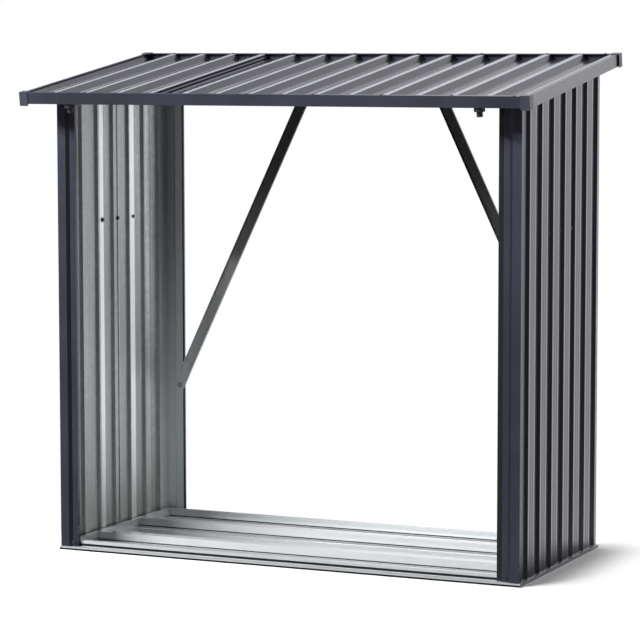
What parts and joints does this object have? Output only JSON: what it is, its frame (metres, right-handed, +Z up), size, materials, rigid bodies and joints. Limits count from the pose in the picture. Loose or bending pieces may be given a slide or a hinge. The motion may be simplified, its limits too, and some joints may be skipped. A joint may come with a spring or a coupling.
{
  "type": "open-front log store",
  "caption": "Open-front, open-back sheet-steel log store with ribbed side walls, a sloping ribbed roof and a raised-edge metal floor.",
  "frame": {"origin": "ground point under the middle of the roof", "axes": "+Z up; the open front faces -Y; +X to the right seen from the front"},
  "size_m": [1.63, 0.8236, 1.5241],
  "materials": {
    "base_zinc": "galvanised, bright",
    "brace_zinc": "galvanised, dull",
    "corner_cap": "satin moulded",
    "eave_foot": "satin moulded",
    "floor_zinc": "galvanised, bright",
    "frame_zinc": "galvanised",
    "post_paint": "semi-gloss anthracite outside, zinc inside",
    "roof_sheet": "semi-gloss anthracite",
    "roof_trim": "semi-gloss anthracite",
    "wall_sheet": "semi-gloss anthracite outside, zinc inside"
  },
  "bodies": {
    "root": {"floor_front": "floor_zinc", "floor_middle": "floor_zinc", "floor_rear": "floor_zinc", "front_beam": "frame_zinc", "front_floor_beam": "base_zinc", "front_left_cap": "corner_cap", "front_left_post": "post_paint", "front_rail": "base_zinc", "front_right_cap": "corner_cap", "front_right_post": "post_paint", "left_brace": "brace_zinc", "left_eave_foot": "eave_foot", "left_rail": "base_zinc", "left_top_rail": "frame_zinc", "left_wall_front": "wall_sheet", "left_wall_rear": "wall_sheet", "rear_beam": "frame_zinc", "rear_floor_beam": "base_zinc", "rear_left_cap": "corner_cap", "rear_left_post": "post_paint", "rear_rail": "base_zinc", "rear_right_cap": "corner_cap", "rear_right_post": "post_paint", "right_brace": "brace_zinc", "right_eave_foot": "eave_foot", "right_rail": "base_zinc", "right_top_rail": "frame_zinc", "right_wall_front": "wall_sheet", "right_wall_rear": "wall_sheet", "roof_centre_panel": "roof_sheet", "roof_front_trim": "roof_trim", "roof_left_panel": "roof_sheet", "roof_left_trim": "roof_trim", "roof_rear_trim": "roof_trim", "roof_right_panel": "roof_sheet", "roof_right_trim": "roof_trim"}
  },
  "joints": []
}
